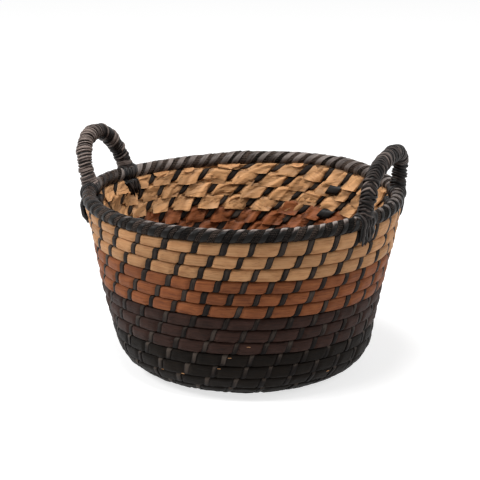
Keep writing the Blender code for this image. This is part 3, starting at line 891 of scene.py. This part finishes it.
def make_dark_wraps():
    """The rim's dark wraps as one body with a helical seam."""
    numbers = (np.arange(RIM_WRAPS)[:, None] + RIM_PHASES).ravel()
    wrap = np.floor(numbers)[:, None]
    phase = (numbers % 1)[:, None]
    angle = -math.pi / 2 + CIRCLE * np.arange(RIM_COLUMNS) / RIM_COLUMNS
    azimuth = RIM_END_AZIMUTH + (numbers[:, None] + rim_lean(angle)) * WRAP_TURN
    angles = np.broadcast_to(angle, azimuth.shape)
    bump = RIM_BULGE * np.sin(math.pi * np.clip((phase - 0.5) / 0.5, 0, 1)) ** 0.6 - RIM_SINK
    spot = np.stack((azimuth * RIM_RADIUS, np.cos(angles) * 0.007, np.sin(angles) * 0.007), -1)
    points = rim_point(azimuth, angles, RIM_THICKNESS / 2 + bump + RIM_WAVES * waves(spot, 900, 21))
    wrap_tones = np.random.default_rng(4).uniform(-0.2, 0.8, RIM_WRAPS + 2)[wrap.astype(int)]
    # The wraps get painted light towards the back, and are lighter where frayed
    tone = wrap_tones + 0.5 * back_share(azimuth) + WORN_TONE * worn_share(azimuth) ** 3
    faces = tube_faces(len(numbers), RIM_COLUMNS, RIM_LEAD * len(RIM_PHASES))
    add_piece(
        "rim_wraps_dark", points.reshape(-1, 3), faces, ROUGH_LOOK, "rim_strip", ["rim_coil"],
        grain=grain_of(phase * 0.0148, angles * 0.007, wrap * 0.61), tone=tone.ravel(),
    )


def make_satin_wraps():
    """The satin strips that lie between the dark wraps."""
    draw = np.random.default_rng(8)
    stations = np.linspace(0.0, 1.0, SATIN_STATIONS)
    shaded_outer_face = smooth(0.46, 0.25, stations) + smooth(0.96, 1.0, stations)
    highlit_top = np.exp(-(((stations - 0.49) / 0.07) ** 2))
    bundle = Bundle()
    for wrap in range(RIM_WRAPS):
        there = float(RIM_END_AZIMUTH + (wrap + 1.2) * WRAP_TURN)
        back = float(back_share(there))
        width = draw.uniform(0.38, 0.52) + 0.16 * back
        offset = draw.normal(0, 0.04)
        lift = draw.uniform(0.0, 0.0003)
        tilt = draw.normal(0, 0.0002)
        rings = []
        for share in stations:
            angle = -math.pi / 2 + CIRCLE * share
            centre = wrap + SATIN_PLACE + offset + rim_lean(angle)
            rings.append([
                rim_point(
                    RIM_END_AZIMUTH + (centre + side * width / 2) * WRAP_TURN, angle,
                    RIM_THICKNESS / 2 + height + lift + tilt * side,
                )
                for side, height in SATIN_PROFILE
            ])
        worn = float(worn_share(there)) ** 8
        # Painted light lightens the strips towards the back and they are duller where worn; a painted
        # highlight runs along the rim's top at the front, and painted shade darkens its outer face
        tone = draw.uniform(-0.1, 0.9) + 1.1 * back - 0.8 * worn
        tones = tone + TOP_HIGHLIGHT * (1 - back) * (1 - worn) * highlit_top - SATIN_OUTER_SHADE * shaded_outer_face
        bundle.add_strip(np.array(rings), 0.007, 0.044, tones[:, None] + SATIN_PAINTED_SHADING, wrap, SATIN_SIDES)
    bundle.make("rim_wraps_satin", SATIN_LOOK, "rim_strip")


# Handles
CORD_THICKNESS = 0.0032
CORD_SIDES = 8
CORD_STEPS = 18
CORD_FOOT = 0.003  # how far from the rim's middle the winding starts
CORD_GRAIN = (0.004, 0.04)
CORDS = {  # pitch in metres, slant in pitches, then tones, with the painted shading round each cord and painted shade that may darken the leg at the start
    "right": dict(pitch=0.0035, slant=3.2, tone=-1.05, spread=0.6, crest_shading=1.8, shaded_leg=0.0, seed=32),
    "left": dict(pitch=0.0028, slant=0.9, tone=0.1, spread=0.4, crest_shading=1.6, shaded_leg=1.5, seed=31),
}
# Painted highlight along each cord's crest and painted shade on its underside
CORD_PAINTED_SHADING = np.sin(CIRCLE * (np.arange(CORD_SIDES) + 0.5) / CORD_SIDES)
KINK_ANGLE = math.radians(95)  # where each turn of the cord bends back, round the handle
SHADE_CORE_RADIUS = 0.0068  # of a dark tube under the outer turns, painted shade that fills the grooves between them
CROSSINGS = 8
COLLAR_TURNS = 4
COLLAR_START = 0.005
COLLAR_STEP = 0.0024


class Hoop:
    """The middle line of a handle: half a squared ellipse in a plane that leans out."""

    def __init__(self, azimuth, half_angle, lean, rise, squareness, settled):
        out = np.array((math.cos(azimuth), math.sin(azimuth), 0.0))
        along = np.array((-math.sin(azimuth), math.cos(azimuth), 0.0))
        up = np.array((0, 0, math.cos(lean))) + out * math.sin(lean)
        self.across = np.cross(along, up)
        angle = np.linspace(0, math.pi, 241)
        side = -np.sign(np.cos(angle)) * np.abs(np.cos(angle)) ** (2 / squareness)
        height = rise * np.sin(angle) ** (2 / squareness)
        foot = out * RIM_RADIUS * math.cos(half_angle)
        self.points = foot + side[:, None] * along * RIM_RADIUS * math.sin(half_angle) + height[:, None] * up
        self.points[:, 2] += RIM_HEIGHT + rim_drift(azimuth + side * half_angle)
        self.points += np.outer(settled * height / rise, SETTLING)
        steps = np.linalg.norm(np.diff(self.points, axis=0), axis=1)
        self.reached = np.concatenate(((0,), np.cumsum(steps)))
        self.length = self.reached[-1]

    def at(self, distance):
        return np.stack([np.interp(distance, self.reached, self.points[:, i]) for i in range(3)], -1)

    def section(self, distance):
        """Middle of the hoop, and the two directions across it."""
        ahead = self.at(np.minimum(distance + 0.003, self.length)) - self.at(np.maximum(distance - 0.003, 0))
        ahead /= np.linalg.norm(ahead, axis=-1, keepdims=True)
        across = np.broadcast_to(self.across, ahead.shape)
        return self.at(distance), across, np.cross(ahead, across)

    def around(self, distance, angle, radius):
        """Points round the hoop, and the way out from its middle at each."""
        middle, across, outer = self.section(distance)
        spoke = np.cos(angle)[..., None] * across + np.sin(angle)[..., None] * outer
        return middle + radius[..., None] * spoke, spoke


def ways_across(path, out):
    """The side way and the outward way at each point of a path, square to the path."""
    ahead = np.gradient(path, axis=0)
    ahead /= np.linalg.norm(ahead, axis=1, keepdims=True)
    out = out - (out * ahead).sum(1, keepdims=True) * ahead
    out /= np.linalg.norm(out, axis=1, keepdims=True)
    return np.cross(ahead, out), out


def cord_rings(path, wide, thick, out, sides=CORD_SIDES):
    """Rings of an oval cord along a path, whose thickness lies along the given outward way."""
    side, out = ways_across(path, out)
    angle = CIRCLE * (np.arange(sides) + 0.5) / sides
    wide, thick = np.broadcast_to(wide, len(path)), np.broadcast_to(thick, len(path))
    return (
        path[:, None]
        + side[:, None] * (wide[:, None] * np.cos(angle))[..., None]
        + out[:, None] * (thick[:, None] * np.sin(angle))[..., None]
    )


def make_winding(side, hoop, draw):
    """Thin cord wound round the cane from foot to foot, by hand and so a little unevenly."""
    cord = CORDS[side]
    turns = round((hoop.length - 2 * CORD_FOOT) / cord["pitch"])
    pitch = (hoop.length - 2 * CORD_FOOT) / turns
    step = np.arange(turns * CORD_STEPS + 1) / CORD_STEPS
    spot = step[:, None]
    angle = CIRCLE * step
    bend = np.sqrt((angle_between(angle, KINK_ANGLE) / math.pi) ** 2 + 0.004) - 0.5
    distance = CORD_FOOT + pitch * (step + 0.30 * waves(spot, 0.9, cord["seed"], 8))
    distance = np.clip(distance + pitch * cord["slant"] * bend, 0.001, hoop.length - 0.001)
    loops = np.arange(turns + 1)
    proud = np.interp(step, loops, draw.uniform(-0.0006, 0.0009, turns + 1))
    radius = HANDLE_THICKNESS / 2 - CORD_THICKNESS / 2 + proud + 0.0002 * waves(spot, 5.0, 33, 8)
    path, spoke = hoop.around(distance, angle, radius)
    wide = pitch * np.interp(step, loops, draw.uniform(0.40, 0.53, turns + 1))
    loop_tones = draw.uniform(-cord["spread"], cord["spread"], turns + 1)
    tones = cord["tone"] + loop_tones[np.floor(step).astype(int)] + 0.2 * waves(spot, 0.6, 34, 8)
    # Painted shade darkens the leg at the start
    tones = tones - cord["shaded_leg"] * smooth(0.56, 0.40, distance / hoop.length)
    rings = cord_rings(path, wide, CORD_THICKNESS / 2, spoke)
    bundle = Bundle()
    bundle.add_strip(rings, 0.005, turns * 0.05, tones[:, None] + cord["crest_shading"] * CORD_PAINTED_SHADING)
    path, _, outer = hoop.section(np.linspace(0.002, hoop.length - 0.002, 80))
    # A dark tube of painted shade under the turns, seen in the grooves between them
    bundle.add_strip(cord_rings(path, SHADE_CORE_RADIUS, SHADE_CORE_RADIUS, outer, 16), 0.01, hoop.length, -1.0)
    add_crossings(bundle, hoop, pitch, cord["tone"], draw)
    for end in ("start", "end"):
        add_collar(bundle, hoop, end, cord["tone"], draw)
    bundle.make(f"{side}_handle_cord", CORD_LOOK, "handle_cord", [f"{side}_handle_winding"])


def add_crossings(bundle, hoop, pitch, tone, draw):
    """Loops that cross the winding where the cord was caught back."""
    share = np.linspace(0, 1, 22)
    sunk = 0.0024 * (1 - np.sin(math.pi * share) ** 0.5)
    for _ in range(CROSSINGS):
        start = draw.uniform(0.02, hoop.length - 0.04)
        distance = start + pitch * draw.uniform(1.2, 2.6) * share
        angle = draw.uniform(0, CIRCLE) + CIRCLE * 0.8 * share
        path, spoke = hoop.around(distance, angle, HANDLE_THICKNESS / 2 + 0.0002 - sunk)
        # The same painted highlight on the crest and painted shade beneath
        tones = tone + draw.uniform(0, 0.4) + CORD_PAINTED_SHADING
        bundle.add_strip(cord_rings(path, 0.0016, 0.0012, spoke), *CORD_GRAIN, tones)


def add_collar(bundle, hoop, end, tone, draw):
    """Slanting turns of cord that tie off the foot of a leg."""
    share = np.linspace(0, 1, 30)
    sunk = 0.002 * smooth(0.88, 1.0, share) + 0.002 * smooth(0.12, 0.0, share)
    for number in range(COLLAR_TURNS):
        away = COLLAR_START + COLLAR_STEP * number + draw.uniform(-0.0006, 0.0006)
        angle = draw.uniform(0, CIRCLE) + CIRCLE * 1.06 * share
        slant = draw.uniform(0.0015, 0.004) * np.sin(angle + draw.uniform(-0.6, 0.6))
        distance = away + 0.0015 * share + slant
        distance = distance if end == "start" else hoop.length - distance
        path, spoke = hoop.around(distance, angle, HANDLE_THICKNESS / 2 - 0.0010 - sunk)
        # The same painted highlight on the crest and painted shade beneath
        tones = tone + draw.uniform(-0.4, 0.2) + CORD_PAINTED_SHADING
        bundle.add_strip(cord_rings(path, 0.0017, 0.0013, spoke), *CORD_GRAIN, tones)


LASHINGS = {  # outside, then inside: drop below the rim, shift round it at the top and at the lower ends
    ("right", "front"): ((0.015, 0.0, 0.0), (0.016, 0.0, 0.0)),
    ("right", "back"): ((0.022, 0.0008, 0.002), (0.028, -0.0012, -0.003)),
    ("left", "front"): ((0.020, 0.0104, 0.026), (0.014, 0.0036, 0.009)),
    ("left", "back"): ((0.014, 0.0, 0.0), (0.018, 0.0055, 0.0005)),
}
STAND_OFF = {("left", "front"): 0.0026}  # of the strands outside, where they bulge over the rim
STRAND_TOPS = (-0.0100, -0.0078, -0.0052, -0.0030, -0.0004, 0.0024, 0.0048, 0.0076, 0.0102)
STRAND_SPACING = 0.0017  # at their lower ends
STRAND_THICKNESS = 0.0011
STRAND_BOW = 0.0007
STRAND_LIFT = 0.0014  # how far all strands stand off the wall, besides what each has of its own
STRAND_SECTION = ((-1.0, -0.6), (-1.0, 0.1), (-0.7, 0.42), (0.0, 0.5), (0.7, 0.42), (1.0, 0.1), (1.0, -0.6))
# Painted shade along a strand's edges and a painted highlight along its middle
STRAND_PAINTED_SHADING = np.array((-1.0, -0.5, 0.2, 0.5, 0.2, -0.5, -1.0))
RIM_ARC = (-38, 86)  # degrees round the rim's section that half a strand lies on


def strand_rings(path, out, wide):
    """Rings of a flat strip along a path, a little bowed across."""
    side, out = ways_across(path, out)
    rows = []
    for across, height in STRAND_SECTION:
        lift = height * STRAND_THICKNESS - STRAND_BOW * across**2
        rows.append(path + side * (across * wide / 2)[:, None] + out * lift)
    return np.stack(rows, 1)


def half_strand(azimuth, face, number, low, lift, stand_off, route):
    """A strand from its lower end up one face of the wall to the top of the rim, and the ways out of it."""
    drop, top_shift, low_shift = route
    top = STRAND_TOPS[number]
    edge = RIM_CENTRE_LINE + rim_drift(azimuth)
    path, ways = [], []
    for share in np.linspace(1, 0.12, 9):
        offset = low + (top - low) * (1 - share) ** 0.8 * 0.9 + top_shift + (low_shift - top_shift) * share
        there = azimuth + (offset + 0.0008 * math.sin(7 * share + number)) / RIM_RADIUS
        ending = float(smooth(0.6, 1.0, share))
        tuck = 0.0016 * ending - stand_off * (1 - ending)
        outward = face * (COIL_THICKNESS / 2 + lift + STRAND_LIFT - tuck)
        path.append(on_wall(there, edge - RIM_THICKNESS / 2 - share * drop, outward))
        ways.append((math.cos(there) * face, math.sin(there) * face, 0.0))
    for degrees in np.linspace(*RIM_ARC, 9):
        rise = (degrees - RIM_ARC[0]) / (RIM_ARC[1] - RIM_ARC[0])
        there = azimuth + (low + (top - low) * (0.55 + 0.45 * rise) + top_shift * (1 - rise)) / RIM_RADIUS
        angle = math.radians(degrees if face > 0 else 180 - degrees)
        path.append(rim_point(there, angle, RIM_THICKNESS / 2 + lift + 0.3 * stand_off))
        ways.append((math.cos(angle) * math.cos(there), math.cos(angle) * math.sin(there), math.sin(angle)))
    return path, ways


def make_lashing(side, end, azimuth, draw):
    """A fan of flat strips from the outside of the wall over the rim to the inside."""
    outer_route, inner_route = LASHINGS[side, end]
    stand_off = STAND_OFF.get((side, end), 0.0)
    bundle = Bundle()
    for number in range(len(STRAND_TOPS)):
        low = (number - (len(STRAND_TOPS) - 1) / 2) * STRAND_SPACING + draw.normal(0, 0.0009)
        lift = 0.0006 + 0.0014 * (number % 2) + draw.uniform(0, 0.0006)
        halves = []
        for face, (drop, *shifts), away in ((1, outer_route, stand_off), (-1, inner_route, 0.0)):
            route = (drop * draw.uniform(0.82, 1.12), *shifts)
            halves.append(half_strand(azimuth, face, number, low, lift, away, route))
        (outer_path, outer_ways), (inner_path, inner_ways) = halves
        path = np.array(outer_path + inner_path[::-1])
        ways = np.array(outer_ways + inner_ways[::-1])
        share = np.linspace(0, 1, len(path))
        taper = 0.45 + 0.55 * smooth(0.0, 0.16, share) * smooth(1.0, 0.84, share)
        rings = strand_rings(path, ways, draw.uniform(0.0028, 0.0046) * taper)
        # Each strand's tone, with painted shade at its edges and a painted highlight in its middle
        bundle.add_strip(rings, 0.005, 0.09, draw.uniform() + STRAND_PAINTED_SHADING)
    bundle.make(
        f"{side}_{end}_lashings", LASHING_LOOK, "lashing_strip",
        [f"{side}_{end}_lashing_{number}" for number in (1, 2, 3, 4)],
    )


def make_handles():
    draw = np.random.default_rng(12)
    for side, shape in HANDLES.items():
        for material_slot in bpy.data.objects[f"{side}_handle_core"].material_slots:
            material_slot.material = CANE_LOOK
        make_winding(side, Hoop(*shape), draw)
        front = -1 if side == "right" else 1
        for end, direction in (("front", front), ("back", -front)):
            make_lashing(side, end, shape[0] + direction * shape[1], draw)


# Stage
SENSOR = 36  # millimetres
PHOTO_PIXELS = 480
FOCAL_PIXELS = 2500
CAMERA_PLACE = (VIEW_AZIMUTH, 16.19, 2.659)  # degrees round from the front and up, metres from its aim
AIM_HEIGHT = 0.1365
AIM_LEFT = 0.0037
LIGHTS = (  # name, degrees round from the front and up, distance and size in metres, power in watts
    ("key", -56, 40, 2.2, 0.7, 23),
    ("fill", 105, 32, 2.4, 1.2, 13),
    ("top", 0, 76, 2.0, 0.8, 28),
)
SKY_STRENGTH = 0.22
FLOOR_HALF = 6
FLOOR_DROP = 0.0002
FLOOR_GREY = 0.6
FLOOR_GLOW = 0.7


def way_back(azimuth, elevation):
    """Direction from the basket to a place round from its front and up, both in degrees."""
    a, e = math.radians(azimuth), math.radians(elevation)
    return Vector((math.sin(a) * math.cos(e), -math.cos(a) * math.cos(e), math.sin(e)))


def place(thing, spot, turn):
    thing.location = spot
    thing.rotation_mode = "QUATERNION"
    thing.rotation_quaternion = turn
    bpy.context.collection.objects.link(thing)


def make_camera():
    azimuth, elevation, distance = CAMERA_PLACE
    back = way_back(azimuth, elevation)
    right = way_back(azimuth + 90, 0)
    data = bpy.data.cameras.new("camera")
    data.sensor_width = SENSOR
    data.lens = SENSOR * FOCAL_PIXELS / PHOTO_PIXELS
    data.clip_start, data.clip_end = 0.1, 50
    camera = bpy.data.objects.new("camera", data)
    aim = Vector((0, 0, AIM_HEIGHT)) - right * AIM_LEFT
    place(camera, aim + back * distance, (-back).to_track_quat("-Z", "Y"))
    bpy.context.scene.camera = camera


def add_light(name, azimuth, elevation, distance, size, power):
    back = way_back(azimuth, elevation)
    data = bpy.data.lights.new(name, "AREA")
    data.shape = "DISK"
    data.size = size
    data.energy = power
    light = bpy.data.objects.new(name, data)
    place(light, Vector((0, 0, 0.1)) + back * distance, back.to_track_quat("Z", "Y"))


def make_sky():
    """Plain white where it is seen, and a weak white light elsewhere."""
    n = Nodes(bpy.data.worlds.new("studio"))
    bpy.context.scene.world = n.holder
    weak, white = (
        n.add("Background", {"Color": (1, 1, 1, 1), "Strength": strength}).outputs[0]
        for strength in (SKY_STRENGTH, 1.0)
    )
    mix = n.add("MixShader", {0: n.seen_directly(), 1: weak, 2: white})
    n.set(n.tree.nodes["World Output"].inputs["Surface"], mix.outputs[0])


def make_stage():
    bpy.context.scene.view_settings.view_transform = "Standard"
    make_sky()
    mesh = bpy.data.meshes.new("floor")
    corners = [(FLOOR_HALF * x, FLOOR_HALF * y, 0) for x, y in ((-1, -1), (1, -1), (1, 1), (-1, 1))]
    mesh.from_pydata(corners, [], [(0, 1, 2, 3)])
    floor = bpy.data.objects.new("floor", mesh)
    floor.location.z = -FLOOR_DROP
    bpy.context.collection.objects.link(floor)
    n = Nodes(bpy.data.materials.new("floor_white"))
    glow = n.math("MULTIPLY", n.seen_directly(), FLOOR_GLOW)
    mesh.materials.append(n.surface({
        "Base Color": (FLOOR_GREY, FLOOR_GREY, FLOOR_GREY, 1), "Roughness": 0.9, "Specular IOR Level": 0.0,
        "Emission Color": (1, 1, 1, 1), "Emission Strength": glow,
    }))
    for light in LIGHTS:
        add_light(*light)


make_camera()
make_stage()
make_coil()
make_dark_wraps()
make_satin_wraps()
make_handles()
